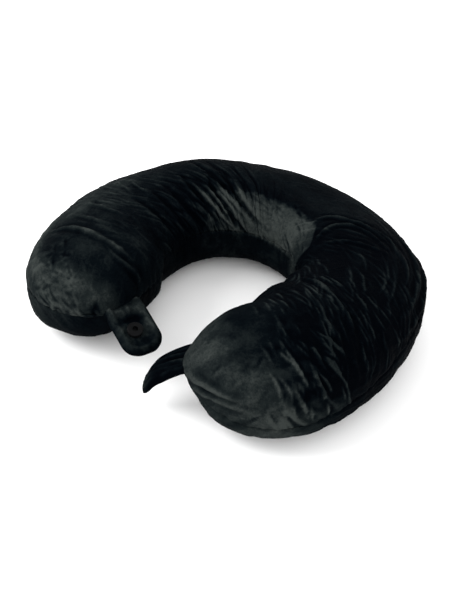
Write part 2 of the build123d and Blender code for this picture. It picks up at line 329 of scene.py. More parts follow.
def simulate(tube, marks):
    """Press a slightly too large cover outwards between its held seams; returns where it comes to lie."""
    m, n = tube.shape[:2]
    me = bpy.data.meshes.new("cover_cloth")
    me.from_pydata((tube.reshape(-1, 3) * MM).tolist(), [], quads_of(m, n, True).tolist())
    bm = bmesh.new()
    bm.from_mesh(me)
    bmesh.ops.recalc_face_normals(bm, faces=bm.faces)
    bm.to_mesh(me)
    bm.free()
    obj = new_object("cover_cloth", me)
    place = np.arange(n)[None, :]
    held = (place > marks[:, 2:3] - 0.5) & (place < marks[:, 3:4] + 0.5)
    for q in range(4):
        held |= np.abs((place - marks[:, q:q + 1] + n / 2) % n - n / 2) < 0.5
    held[0] = held[-1] = True
    group = obj.vertex_groups.new(name="held")
    group.add(np.nonzero(held.ravel())[0].tolist(), 1.0, "REPLACE")
    modifier = obj.modifiers.new("cloth", "CLOTH")
    cloth_set = modifier.settings
    cloth_set.quality = 6
    cloth_set.mass = 0.12
    cloth_set.tension_stiffness = cloth_set.compression_stiffness = 15
    cloth_set.shear_stiffness = 5
    cloth_set.bending_stiffness = SIM_BEND
    cloth_set.bending_damping = 0.5
    cloth_set.air_damping = 2
    cloth_set.vertex_group_mass = group.name
    cloth_set.pin_stiffness = 10
    cloth_set.use_pressure = True
    cloth_set.uniform_pressure_force = SIM_PRESSURE
    cloth_set.shrink_min = -SIM_GROWTH
    cloth_set.effector_weights.gravity = 0
    modifier.collision_settings.use_collision = False
    modifier.point_cache.frame_start = 1
    modifier.point_cache.frame_end = SIM_FRAMES
    for number in range(1, SIM_FRAMES + 1):
        bpy.context.scene.frame_set(number)
    settled = obj.evaluated_get(bpy.context.evaluated_depsgraph_get())
    co = np.empty(m * n * 3, dtype=np.float32)
    settled.data.vertices.foreach_get("co", co)
    bpy.data.objects.remove(obj)
    bpy.data.meshes.remove(me)
    bpy.context.scene.frame_set(1)
    return co.reshape(m, n, 3) / MM


def crumple(grid, angle):
    """Small folds of the simulated cover, as a height for every point of the fine roll."""
    sim_angle, tube, marks = sim_cover()
    moved = ((simulate(tube, marks) - tube) * outward(tube)).sum(axis=-1)
    small = np.clip(blurred(moved, SIM_FINEST) - blurred(moved, SIM_WIDEST), -SIM_CAP, SIM_CAP)
    place = np.interp(angle, sim_angle, np.arange(len(sim_angle)))
    k = np.floor(place).astype(int)
    rows = [small[np.clip(k + q, 0, len(small) - 1)] for q in (-1, 0, 1, 2)]
    columns = between(*rows, (place - k)[:, None])
    place = share_round(grid)[:, :-1] * SIM_POINTS
    k = np.floor(place).astype(int)
    taken = [np.take_along_axis(columns, (k + q) % SIM_POINTS, axis=1) for q in (-1, 0, 1, 2)]
    return between(*taken, place - k)


# --- relief of the cover ---
ROWS = tuple(int(r * FINE) // 4 * 4 for r in (184, 48, 56, 56))
COLS = (int(720 * FINE), int(92 * FINE))
STROKE_SEED = 700

# Folds that show, each as three places (angle, distance out from the crown), a width and a height.
FOLDS = (
    ((-47, -4), (-40, -30), (-20, -54), 1.6, -2.7), ((-38, 2), (-29, -24), (-10, -43), 1.5, -2.5),
    ((-52, 26), (-42, -6), (-27, -30), 1.5, -1.8), ((-50, -18), (-41, -36), (-30, -50), 1.4, -2.2),
    ((-72, 2), (-67, -28), (-54, -54), 1.8, -1.8), ((-60, 8), (-56, -20), (-43, -50), 1.5, -1.7),
    ((-80, 0), (-78, -28), (-70, -55), 1.7, -1.2), ((-92, 2), (-92, -26), (-88, -52), 1.8, -1.0),
    ((-122, 46), (-127, 16), (-149, -22), 1.7, 1.6), ((-141, -2), (-148, -14), (-152, -32), 1.4, 1.2),
    ((-112, 38), (-117, 18), (-122, 2), 1.5, 0.9), ((-104, 34), (-107, 14), (-111, -10), 1.5, 0.7),
    ((28, -17), (32, 8), (60, 42), 1.6, 1.5), ((46, -28), (37, 2), (55, 29), 1.6, 1.5),
    ((50, -22), (52, -2), (58, 28), 1.4, 1.0), ((36, 12), (46, 32), (66, 46), 1.5, 1.1),
    ((40, 46), (62, 56), (88, 52), 1.8, 1.2), ((48, 60), (72, 66), (96, 62), 1.8, 1.0),
    ((98, 4), (101, 26), (107, 52), 1.4, 1.4), ((109, 22), (110, 38), (112, 54), 1.4, 1.2),
    ((93, -28), (94, -8), (97, 8), 1.4, 1.2), ((121, 54), (120, 70), (115, 88), 1.5, 1.4),
    ((128, 56), (126, 74), (119, 92), 1.5, 1.3), ((131, 70), (128, 84), (123, 98), 1.5, 1.2),
    ((118, 30), (119, 44), (117, 60), 1.4, 1.1), ((104, 34), (108, 52), (109, 70), 1.4, 1.0),
    ((155, 30), (150, 48), (141, 66), 1.4, 1.3), ((154, 44), (148, 60), (136, 78), 1.4, 1.0),
    ((-156, 28), (-155.5, 22), (-156, 16), 1.1, -1.9),
)


def through(x, y, z, f):
    """A curve that starts at x, passes y half-way and ends at z."""
    return (1 - f) ** 2 * x + 2 * f * (1 - f) * (2 * y - (x + z) / 2) + f * f * z


def fold_field(a, t, reach):
    """Raised and sunk folds over the cover; reach is how far each point is from the arc's centre."""
    h = np.zeros(a.shape)
    per = reach * math.pi / 180
    for k, (p0, p1, p2, width, height) in enumerate(FOLDS):
        best = np.full(a.shape, 1e9)
        where = np.zeros(a.shape)
        last = None
        for i in range(13):
            f = i / 12
            q = [through(x, y, z, f) for x, y, z in zip(p0, p1, p2)]
            if last is not None:
                du, dv = (q[0] - last[0]) * per, q[1] - last[1]
                ux, vy = (a - last[0]) * per, t - last[1]
                g = np.clip((ux * du + vy * dv) / (du * du + dv * dv), 0, 1)
                d = np.hypot(ux - g * du, vy - g * dv)
                closer = d < best
                best = np.where(closer, d, best)
                where = np.where(closer, (i - 1 + g) / 12, where)
            last = q
        best = best + 0.9 * noise(a / 3.5, t / 6.0, 300 + k)
        ends = np.clip(np.sin(math.pi * np.clip(where, 0.03, 0.97)), 0, 1) ** 0.7
        beside = (np.abs(best) - 2.4 * width) / (1.3 * width)
        line = np.exp(-((best / width) ** 2)) - 0.45 * np.exp(-(beside ** 2))
        h += height * ends * line
    return h


# Scattered creases: angle from and to, distance from the crown from and to, how many,
# lean and its spread in degrees, least and greatest length, width, strength (below zero
# for sunk ones).
STROKES = (
    (86, 114, -12, 70, 96, 70, 10, 10, 34, 0.72, 0.72), (110, 134, 36, 92, 44, 108, 10, 12, 30, 0.95, 1.0),
    (108, 134, -16, 38, 30, 96, 16, 8, 20, 0.85, 0.6), (58, 98, -34, 16, 26, 30, 12, 18, 40, 0.85, 0.7),
    (20, 74, 26, 100, 80, 9, 6, 26, 64, 0.85, 0.6), (26, 70, -30, 24, 30, 52, 12, 14, 36, 0.85, 0.55),
    (70, 90, 12, 72, 30, 42, 10, 14, 36, 0.85, 0.6),
    (-104, -58, -56, 12, 44, -60, 9, 24, 52, 0.85, 0.42), (-60, -24, -56, 16, 44, -54, 8, 24, 54, 0.9, -0.9),
    (-157, -130, 30, 66, 52, 30, 50, 5, 14, 0.85, -0.7), (-156, -122, 26, 66, 40, 70, 50, 5, 14, 0.85, 0.5),
    (-108, -74, 4, 56, 40, 80, 14, 14, 38, 0.9, 0.5), (-30, 44, -58, -12, 44, -30, 26, 8, 24, 0.9, -0.5),
    (134, 157, 20, 90, 18, 50, 24, 8, 24, 0.85, -0.3), (-134, -108, -30, 24, 16, 70, 14, 14, 40, 0.85, 0.35),
)


def stroke_field(a, t, reach):
    """Heights of the scattered creases, each a thin bowed ridge with a hollow beside it."""
    h = np.zeros(a.shape)
    for number, area in enumerate(STROKES):
        a0, a1, t0, t1, count, lean, spread, least, most, width, strength = area
        draw = np.random.RandomState(STROKE_SEED + number)
        for _ in range(count):
            ac, tc = draw.uniform(a0, a1), draw.uniform(t0, t1)
            turn = math.radians(lean + spread * draw.uniform(-1, 1))
            half = draw.uniform(least, most) / 2
            bow = draw.uniform(-0.1, 0.22) / half
            power = strength * draw.uniform(0.5, 1.3)
            near = (np.abs(a - ac) < 1.2 * half * 0.9) & (np.abs(t - tc) < 1.1 * half + 4)
            x = (a[near] - ac) * reach[near] * math.pi / 180
            y = t[near] - tc
            u = x * math.cos(turn) + y * math.sin(turn)
            v = y * math.cos(turn) - x * math.sin(turn) + bow * u * u
            ends = np.clip(1 - (u / half) ** 2, 0, 1)
            w = width * (0.7 + 0.5 * ends)
            beside = (v - 2.2 * w) / (1.2 * w)
            h[near] += power * ends * (np.exp(-((v / w) ** 2)) - 0.4 * np.exp(-(beside ** 2)))
    return h


def relief(grid, angle, along, crumpled):
    """Height of the cloth over the smooth roll, in millimetres, with the coordinates that the velvet tone
    uses and fine, the painted light and shade of the creases.
    """
    n_top, n_in, n_under, n_out = ROWS
    count = grid.shape[1]
    a = angle[:, None] + np.zeros(grid.shape[:2])
    s = a * SPINE_R * math.pi / 180
    rows = np.arange(count)[None, :] + np.zeros(grid.shape[:2])
    crown_row = LIFT_ROWS + (n_top - LIFT_ROWS) // 2
    step = np.linalg.norm(np.roll(grid, -1, axis=1) - grid, axis=-1)
    run = np.concatenate([np.zeros((grid.shape[0], 1)), np.cumsum(step, axis=1)[:, :-1]], axis=1)
    around = run[:, -1:] + step[:, -1:]
    t = run[:, crown_row:crown_row + 1] - run
    t = np.where(rows > n_top + n_in + n_under // 2, t + around, t)

    def seam_gap(row):
        d = np.abs(run - run[:, row:row + 1])
        return np.minimum(d, around - d)

    top_seam = np.minimum(seam_gap(0), seam_gap(n_top))
    foot_seam = np.minimum(seam_gap(n_top + n_in), seam_gap(n_top + n_in + n_under))
    on_top = rows <= n_top
    h = 0.7 * noise(s / 60, t / 48, 11) + 0.3 * noise(s / 22, t / 19, 12) + 0.6 * crumpled
    # fine: tone of the folds, creases and seam puckers for the velvet colour, painted light on their ridges
    # and painted shade in their hollows
    fine = 0.25 * crumpled

    # folds that fan over the neck side of the back, leaning more towards the right
    zone = smooth(-100, -62, a) * (1 - smooth(-22, 6, a)) * smooth(20, -10, t) * on_top
    c1, n1 = creases(s, t, -52, 56, 8.5, 21, 0.11, 0.3)
    c2 = creases(s, t, -62, 40, 5.2, 22, 0.13, 0.2)[0]
    h += zone * (-1.0 * c1 - 0.55 * c2 + 0.5 * n1)
    fine += zone * (-1.0 * c1 - 0.7 * c2 + 0.55 * np.clip(n1, 0, 1))
    zone = smooth(-22, 4, a) * (1 - smooth(24, 44, a)) * smooth(-12, -22, t) * on_top
    c1, n1 = creases(s, t, -24, 20, 5.5, 23, 0.14)
    h += zone * (-0.45 * c1 + 0.2 * n1)
    fine -= zone * 0.5 * c1
    # folds that run along the outside of the right side
    zone = smooth(22, 60, a) * (1 - smooth(104, 128, a)) * smooth(-14, 22, t) * on_top
    c1, n1 = creases(s, t, 8, 56, 8, 31, 0.14, 0.2)
    h += zone * (0.5 * c1 + 0.25 * n1 - 0.2)
    fine += zone * (0.3 * c1 + 0.2 * n1)
    # short creases across the right lobe
    zone = smooth(74, 92, a) * (1 - smooth(140, 154, a)) * smooth(-56, -30, t) * on_top
    c1, n1 = creases(s, t, 68, 34, 11, 41, 0.16)
    h += zone * (0.35 * c1 + 0.4 * n1 - 0.15)
    fine += zone * (0.3 * c1 + 0.3 * n1)
    # a few soft ridges over the left lobe
    zone = smooth(66, 88, -a) * (1 - smooth(148, 157, -a)) * on_top
    c1, n1 = creases(s, t, 78, 50, 15, 51, 0.13)
    c2 = creases(s, t, 40, 22, 6, 52, 0.16)[0]
    h += zone * (0.5 * c1 + 0.3 * c2 + 0.2 * n1)
    fine += zone * (0.4 * c1 + 0.3 * c2)
    reach = np.hypot(grid[..., 0], grid[..., 1] - ARC_Y)
    drawn = on_top * fold_field(a, t, reach)
    strokes = on_top * stroke_field(a, t, reach)
    h += 1.25 * drawn + (0.6 - 0.3 * smooth(112, 124, -a)) * strokes
    fine += 1.1 * drawn + (1.35 + 1.0 * smooth(50, 80, a)) * strokes
    # everywhere, faint crushed lines
    c1 = creases(s, t, 30, 22, 6, 61, 0.16)[0]
    c2 = creases(s, t, -35, 18, 5, 62, 0.16)[0]
    h += 0.24 * c1 + 0.20 * c2 + 0.12 * noise(s / 3.4, t / 3.1, 63)
    fine += 0.22 * c1 + 0.2 * c2
    # level pull lines on the side bands
    c1, n1 = creases(s, t, 3, 44, 7, 71, 0.16)
    h += (~on_top) * (0.5 * c1 + 0.2 * n1)

    # plain seams: a pinched line with puckers standing across it
    near = np.exp(-top_seam / 6.5)
    pucker = noise(s / 5.5, top_seam / 26, 81) + 0.7 * noise(s / 3.0, top_seam / 16, 82)
    near = near * (1 + 0.8 * smooth(118, 134, -a))
    h += near * 0.8 * pucker
    h -= 0.95 * np.exp(-((top_seam / 1.0) ** 2)) + 0.15 * np.exp(-top_seam / 3.0)
    fine += 0.35 * near * pucker
    near = np.exp(-foot_seam / 7.0)
    h += near * 0.4 * noise(s / 7.5, foot_seam / 20, 83)
    h -= 1.2 * np.exp(-((foot_seam / 1.4) ** 2)) + 0.3 * np.exp(-foot_seam / 4.0)

    # the slot of the zipper at the back keeps the even CAD wall
    z = grid[..., 2]
    outer_wall = rows > n_top + n_in + n_under
    plain = outer_wall * (1 - smooth(53, 59, np.abs(a))) * smooth(16, 22, z) * (1 - smooth(41, 43.5, z))
    h *= 1 - plain
    slot = outer_wall * (1 - smooth(ZIP_ANGLE - 0.4, ZIP_ANGLE + 0.6, np.abs(a)))
    slot = slot * (1 - smooth(3.9, 4.7, np.abs(z - ZIP_Z)))
    h -= 2.4 * slot
    lip = bump_at(np.abs(z - ZIP_Z), 5.4, 0.9) * outer_wall * (1 - smooth(48.6, 49.6, np.abs(a)))
    h += 0.45 * lip

    # below the seam the relief fades out where all the sections meet at the tip
    h *= 1 - (~on_top) * smooth(153.5, 157.0, np.abs(a))

    # at the lobe tips the cloth is drawn in towards the root of the tab
    tip = smooth(0.86, 0.99, along)[:, None]
    h *= 1 - 0.6 * tip
    return h, s, t, a, fine, on_top


# Small patches of the velvet tone, part brushed fibres and part painted sheen and painted shade: angle and
# its spread, distance out from the crown and its spread, how much lighter the tone is there (below zero for
# darker).
PATCHES = (
    (20, 12, -30, 12, 0.10), (-25, 16, -50, 8, 0.07), (150, 9, 24, 14, 0.08), (126, 8, 88, 12, 0.20),
    (-122, 11, 60, 11, 0.22), (-96, 8, 52, 12, 0.07), (133, 10, 66, 18, -0.09),
)


def pile_and_painted_light_field(s, t, a, fine, on_top):
    """Velvet tone, 0 dark to 1 light: brushed fibres together with painted sheen where they face the key
    light, and painted shade on the sides turned from it and in the creases.
    """
    wob = noise(s / 11, t / 9, 95) + 0.5 * noise(s / 4.5, t / 4, 96)
    # even ground, darker along the back and the right side: painted shade on the faces turned from the key
    # light
    field = 0.27 + 0.12 * noise(s / 40, t / 30, 91) + 0.10 * noise(s / 12, t / 9, 92)
    field -= 0.25 * smooth(22, 44, a + 3 * wob) * (1 - smooth(118, 138, a + 5 * wob))
    field -= 0.08 * smooth(-96, -84, a) * (1 - smooth(14, 34, a)) * smooth(-34, -14, t)
    field -= 0.07 * smooth(-70, -56, a) * (1 - smooth(14, 34, a)) * smooth(14, 30, t)
    # brushed patch on the neck side of the back, with a sharp edge to the right: brushed fibres with painted
    # sheen where they face the key light
    edge = 31 + 15 * smooth(-14, -34, t) - 6 * smooth(-44, -64, t)
    patch = smooth(-64, -42, a + 5 * wob) * (1 - smooth(edge - 1.2, edge + 1.2, a + 0.6 * wob))
    patch *= smooth(-14, -20, t + 2.2 * wob)
    patch *= 1 - (1 - smooth(26, 36, a)) * smooth(-52, -56, t)
    streak = smooth(-0.1, 0.35, noise((s + 0.9 * t) / 9, (t - 0.9 * s) / 42, 97))
    left_part = 1 - smooth(-32, -10, a)
    patch *= (1 - 0.55 * left_part * streak) * (1 - 0.15 * left_part)
    field += 0.56 * patch
    # brushed tip of the right lobe, breaking up along its lower side: painted sheen where the brushed fibres
    # face the key light
    patch = smooth(140, 152, a + 3.5 * wob + 0.06 * np.clip(t, -30, 60))
    field += (0.40 - 0.14 * smooth(24, 44, t)) * patch
    patch = smooth(116, 132, a + 6 * wob) * smooth(28, 52, t + 8 * wob) * (1 - smooth(139, 150, a))
    field += 0.25 * patch
    patch = smooth(102, 118, a + 4 * wob) * (1 - smooth(134, 142, a)) * smooth(66, 84, t + 5 * wob)
    field += 0.24 * patch
    patch = smooth(114, 126, a + 4 * wob) * (1 - smooth(134, 146, a))
    patch *= smooth(38, 56, t + 9 * wob) * (1 - smooth(66, 84, t))
    field += 0.14 * patch
    # front of the left lobe: painted light where it faces the key light
    edge = -134 - np.clip(50 - t, -8, 60) * 0.44
    patch = 1 - smooth(edge - 5, edge + 4, a + 2.5 * wob)
    field += 0.43 * patch * smooth(-9, 7, t + 7 * wob) * (1 - 0.3 * smooth(56, 64, t))
    # grey crest along the outside of the left side: painted grazing sheen
    patch = smooth(62, 82, -a) * (1 - smooth(106, 124, -a)) * smooth(10, 34, t + 6 * wob)
    field += 0.26 * patch
    patch = smooth(128, 138, -a) * (1 - smooth(147, 155, -a))
    patch *= smooth(-18, -4, t + 4 * wob) * (1 - smooth(2, 16, t))
    field += 0.10 * patch
    patch = smooth(100, 112, -a) * (1 - smooth(128, 140, -a)) * smooth(46, 60, t + 4 * wob) * on_top
    field += 0.25 * patch
    # painted shade on the neck side of the left, on the middle of the right lobe, by the left tab and on the
    # bands under it
    field -= 0.17 * smooth(48, 70, -a) * (1 - smooth(116, 132, -a)) * smooth(4, -22, t)
    patch = smooth(86, 100, a) * (1 - smooth(120, 134, a))
    field -= 0.09 * patch * smooth(-6, 16, t + 6 * wob) * (1 - smooth(56, 72, t))
    field -= 0.07 * smooth(60, 74, a) * (1 - smooth(104, 116, a)) * smooth(6, 20, t)
    field -= (~on_top) * (0.16 * smooth(139, 146, -a) + 0.34 * smooth(146, 154, -a))
    field -= 0.30 * bump_at(a, -156, 4.5) * bump_at(t, 26, 13) * on_top
    # brushed patches along the outside of the back and on the side bands, brushed fibres with painted sheen
    outside = smooth(36, 60, t) * smooth(-84, -64, a) * (1 - smooth(30, 60, a)) * on_top
    band = (~on_top) * (t > 0) * smooth(-136, -120, a) * (1 - smooth(96, 116, a))
    brushed_sheen = smooth(0.0, 0.5, noise(s / 34, t / 20, 98) + 0.4 * wob)
    field += np.maximum(outside, band) * (0.04 + 0.34 * brushed_sheen)
    for centre, spread, place, reach, change in PATCHES:
        field += change * bump_at(a, centre, spread) * bump_at(t, place, reach)
    # painted light on the crease ridges and painted shade in their hollows
    field += 0.27 * np.clip(fine, -1.5, 2.2)
    field -= (~on_top) * 0.04
    return np.clip(field, 0, 1)


# --- meshes ---
def store(name, grid, colour=None, closed=False, merge=0.00002):
    """Mesh object from a grid of points in millimetres."""
    me = bpy.data.meshes.new(name)
    verts = (grid.reshape(-1, 3) * MM).astype(np.float32)
    quads = quads_of(*grid.shape[:2], closed)
    me.vertices.add(len(verts))
    me.vertices.foreach_set("co", verts.ravel())
    me.loops.add(quads.size)
    me.loops.foreach_set("vertex_index", quads.ravel().astype(np.int32))
    me.polygons.add(len(quads))
    me.polygons.foreach_set("loop_start", np.arange(0, quads.size, 4, dtype=np.int32))
    me.polygons.foreach_set("use_smooth", np.ones(len(quads), dtype=bool))
    me.update(calc_edges=True)
    if colour is not None:
        attribute = me.color_attributes.new("pile", "FLOAT_COLOR", "POINT")
        c = colour.reshape(-1)
        data = np.stack([c, c, c, np.ones_like(c)], axis=-1).astype(np.float32)
        attribute.data.foreach_set("color", data.ravel())
    bm = bmesh.new()
    bm.from_mesh(me)
    bmesh.ops.remove_doubles(bm, verts=bm.verts, dist=merge)
    bmesh.ops.dissolve_degenerate(bm, edges=bm.edges, dist=1e-7)
    bmesh.ops.recalc_face_normals(bm, faces=bm.faces)
    bm.to_mesh(me)
    bm.free()
    return new_object(name, me)


def settle(obj, body, nodes, material):
    """Give a piece its material, the body it rides on and the CAD nodes it stands for."""
    obj.data.materials.clear()
    obj.data.materials.append(material)
    if body:
        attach(obj, body)
    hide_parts(*nodes)
    return obj


# --- materials ---
def new_material(name):
    mat = bpy.data.materials.new(name)
    mat.use_nodes = True
    tree = mat.node_tree
    shader = tree.nodes["Principled BSDF"]
    return mat, tree, shader


def add_node(tree, kind, **values):
    node = tree.nodes.new(kind)
    for key, value in values.items():
        setattr(node, key, value)
    return node


def noise_node(tree, coords, scale, detail=2.0, rough=0.5, distortion=0.0):
    node = tree.nodes.new("ShaderNodeTexNoise")
    node.inputs["Scale"].default_value = scale
    node.inputs["Detail"].default_value = detail
    node.inputs["Roughness"].default_value = rough
    node.inputs["Distortion"].default_value = distortion
    tree.links.new(coords, node.inputs["Vector"])
    return node.outputs[0]


def ramp_node(tree, value, stops):
    node = tree.nodes.new("ShaderNodeValToRGB")
    node.color_ramp.elements[0].position = stops[0][0]
    node.color_ramp.elements[0].color = stops[0][1]
    node.color_ramp.elements[1].position = stops[-1][0]
    node.color_ramp.elements[1].color = stops[-1][1]
    for pos, col in stops[1:-1]:
        element = node.color_ramp.elements.new(pos)
        element.color = col
    tree.links.new(value, node.inputs[0])
    return node.outputs[0]


def math_node(tree, kind, a, b=None, clamp=False):
    node = tree.nodes.new("ShaderNodeMath")
    node.operation = kind
    node.use_clamp = clamp
    for slot, value in ((0, a), (1, b)):
        if value is None:
            continue
        if isinstance(value, (int, float)):
            node.inputs[slot].default_value = value
        else:
            tree.links.new(value, node.inputs[slot])
    return node.outputs[0]


def bump_node(tree, shader, layers):
    """layers: (height socket, strength, distance in metres), stacked."""
    last = None
    for height, strength, distance in layers:
        node = tree.nodes.new("ShaderNodeBump")
        node.inputs["Strength"].default_value = strength
        node.inputs["Distance"].default_value = distance
        tree.links.new(height, node.inputs["Height"])
        if last is not None:
            tree.links.new(last, node.inputs["Normal"])
        last = node.outputs[0]
    tree.links.new(last, shader.inputs["Normal"])


def velvet(name):
    """Crushed velvet: near-black, lighter with its tone attribute, which holds brushed fibres together with
    painted sheen and painted shade.
    """
    mat, tree, shader = new_material(name)
    coords = add_node(tree, "ShaderNodeTexCoord").outputs["Object"]
    fibre = noise_node(tree, coords, 1500, 2, 0.6)
    tuft = noise_node(tree, coords, 420, 3, 0.6, 0.4)
    blotch = noise_node(tree, coords, 120, 3, 0.6, 0.5)
    nap_and_painted_light = add_node(tree, "ShaderNodeAttribute", attribute_name="pile").outputs["Fac"]
    strength = math_node(tree, "ADD", math_node(tree, "MULTIPLY", nap_and_painted_light, 0.55), 0.45, True)
    mottle = None
    for value, weight in ((blotch, 0.26), (tuft, 0.60), (fibre, 0.55)):
        part = math_node(tree, "MULTIPLY", math_node(tree, "SUBTRACT", value, 0.5), weight)
        mottle = part if mottle is None else math_node(tree, "ADD", mottle, part)
    nap_and_painted_light = math_node(tree, "ADD", nap_and_painted_light, math_node(tree, "MULTIPLY", mottle, strength), True)
    colour = ramp_node(tree, nap_and_painted_light, [
        (0.0, (0.0001, 0.0004, 0.0010, 1)),
        (0.28, (0.0010, 0.0020, 0.0029, 1)),
        (0.6, (0.0067, 0.0091, 0.0095, 1)),
        (1.0, (0.0270, 0.0315, 0.0300, 1)),
    ])
    tree.links.new(colour, shader.inputs["Base Color"])
    shader.inputs["Roughness"].default_value = 0.72
    shader.inputs["Specular IOR Level"].default_value = 0.006
    shader.inputs["Sheen Weight"].default_value = 0.0022
    shader.inputs["Sheen Roughness"].default_value = 0.38
    shader.inputs["Sheen Tint"].default_value = (0.75, 0.86, 0.84, 1)
    bump_node(tree, shader, [(tuft, 0.30, 0.0006), (fibre, 0.35, 0.00025)])
    return mat


def cloth(name, base, scale, contrast=0.5, rough=0.85, sheen=0.05, spec=0.3):
    """Plain woven cloth with a fine even weave."""
    mat, tree, shader = new_material(name)
    coords = add_node(tree, "ShaderNodeTexCoord").outputs["Object"]
    weave = tree.nodes.new("ShaderNodeTexVoronoi")
    weave.inputs["Scale"].default_value = scale
    tree.links.new(coords, weave.inputs["Vector"])
    dots = weave.outputs["Distance"]
    cloud = noise_node(tree, coords, 60, 3)
    grain = math_node(tree, "MULTIPLY", dots, contrast)
    mix = math_node(tree, "ADD", grain, math_node(tree, "MULTIPLY", cloud, 0.5))
    low = tuple(c * 0.65 for c in base) + (1,)
    high = tuple(min(c * 1.25, 1) for c in base) + (1,)
    tree.links.new(ramp_node(tree, mix, [(0.1, low), (0.75, high)]), shader.inputs["Base Color"])
    shader.inputs["Roughness"].default_value = rough
    shader.inputs["Sheen Weight"].default_value = sheen
    shader.inputs["Specular IOR Level"].default_value = spec
    bump_node(tree, shader, [(dots, 0.5, 0.0004)])
    return mat


def hard(name, base, rough=0.35, metallic=0.0, spec=0.5):
    """Moulded or painted small part with a faint surface grain."""
    mat, tree, shader = new_material(name)
    coords = add_node(tree, "ShaderNodeTexCoord").outputs["Object"]
    fine = noise_node(tree, coords, 900, 3, 0.6)
    wear = noise_node(tree, coords, 150, 4, 0.6)
    low = tuple(c * 0.8 for c in base) + (1,)
    high = tuple(min(c * 1.3, 1) for c in base) + (1,)
    tree.links.new(ramp_node(tree, wear, [(0.3, low), (0.7, high)]), shader.inputs["Base Color"])
    level = math_node(tree, "ADD", math_node(tree, "MULTIPLY", wear, 0.2), rough - 0.1)
    tree.links.new(level, shader.inputs["Roughness"])
    shader.inputs["Metallic"].default_value = metallic
    shader.inputs["Specular IOR Level"].default_value = spec
    bump_node(tree, shader, [(fine, 0.15, 0.0001)])
    return mat


def foam(name):
    """Yellowish foam with fine open cells."""
    mat, tree, shader = new_material(name)
    coords = add_node(tree, "ShaderNodeTexCoord").outputs["Object"]
    cells = tree.nodes.new("ShaderNodeTexVoronoi")
    cells.inputs["Scale"].default_value = 900
    tree.links.new(coords, cells.inputs["Vector"])
    cloud = noise_node(tree, coords, 25, 3)
    colour = ramp_node(tree, cloud, [(0.3, (0.72, 0.62, 0.38, 1)), (0.7, (0.84, 0.76, 0.52, 1))])
    tree.links.new(colour, shader.inputs["Base Color"])
    shader.inputs["Roughness"].default_value = 0.95
    bump_node(tree, shader, [(cells.outputs["Distance"], 0.5, 0.0005)])
    return mat


MAT_VELVET = velvet("velvet")
MAT_TAB = velvet("velvet_tab")
MAT_KNIT = cloth("liner_knit", (0.62, 0.62, 0.60), 1400)
MAT_FOAM = foam("foam")
MAT_TAPE = cloth("zipper_tape", (0.0030, 0.0033, 0.0037), 2600, 0.7, 0.85, 0.01, 0.06)
MAT_COIL = hard("zipper_coil", (0.006, 0.006, 0.007), 0.4, 0.0, 0.3)
MAT_METAL = hard("zipper_metal", (0.035, 0.035, 0.038), 0.32, 0.6)
MAT_SNAP = hard("snap_plastic", (0.0026, 0.0027, 0.003), 0.30, 0.0, 0.035)
MAT_LABEL = cloth("label_satin", (0.27, 0.27, 0.26), 3200, 0.3, 0.5)


# --- the pillow ---
TAB_OUT = 2.6  # from the lobe's section at TIP_SHARE out to the root of its tab
FOAM_INSET, LINER_INSET = 8.5, 6.5
LINER_SPLIT = 44  # height at which the two liner panels meet


def gather(grid, side, droop, shift, pull, reach):
    """Cloth of a lobe tip drawn out to the root of its tab."""
    root, ex, ey, ez, out = tab_frame(side, droop, shift)
    d = grid - (root - out * TAB_OUT)
    v = np.clip(d @ ey, -8, 13)
    gap = np.linalg.norm(d - v[..., None] * ey, axis=-1)
    return grid + out * (pull * np.exp(-((gap / reach) ** 1.3)))[..., None]


def build_pillow():
    n_top, n_in, n_under, n_out = ROWS
    angle, along = column_list(*COLS)
    base = sections(angle, along, 0.0, ROWS)
    base = shape_roll(base, angle, ROWS)
    height, s, t, a, fine, on_top = relief(base, angle, along, crumple(base, angle))
    n = outward(base)
    grid = base + n * height[..., None]
    grid = gather(grid, -1, 20.0, 6.5, 2.0, 9.0)
    grid = gather(grid, 1, 32.0, 3.0, 8.0, 14.0)
    grid[..., 2] = np.maximum(grid[..., 2], 0.0)
    # velvet tone: brushed fibres with painted sheen and painted shade
    pile = pile_and_painted_light_field(s, t, a, fine, on_top)
    loop = np.concatenate([grid, grid[:, :1]], axis=1)
    tone = np.concatenate([pile, pile[:, :1]], axis=1)
    e1, e2, e3 = n_top, n_top + n_in, n_top + n_in + n_under
    pieces = (
        ("pillow_top", 0, e1, "cover_top_panel"),
        ("pillow_inner_band", e1, e2, "cover_inner_band"),
        ("pillow_base", e2, e3, "cover_bottom_panel"),
        ("pillow_outer_band", e3, e3 + n_out, "cover_outer_band"),
    )
    for name, first, last, node in pieces:
        obj = store(name, loop[:, first:last + 1], tone[:, first:last + 1])
        settle(obj, "pillow", [node], MAT_VELVET)


def build_inside():
    """The foam and the two liner panels under the cover, each clipped between two heights."""
    for name, inset, node, mat, slot, low, high in (
        ("foam_block", FOAM_INSET, "foam_core", MAT_FOAM, "foam", -1, 200),
        ("liner_top", LINER_INSET, "liner_upper_panel", MAT_KNIT, "liner_knit", LINER_SPLIT, 200),
        ("liner_foot", LINER_INSET, "liner_lower_panel", MAT_KNIT, "liner_knit", -1, LINER_SPLIT - 0.2),
    ):
        angle, along = column_list(150, 24, inset)
        grid = sections(angle, along, inset, (64, 20, 24, 20))
        grid[..., 2] = np.clip(grid[..., 2], low, high)
        obj = store(name, grid, None, closed=True)
        settle(obj, "pillow", [node], mat)


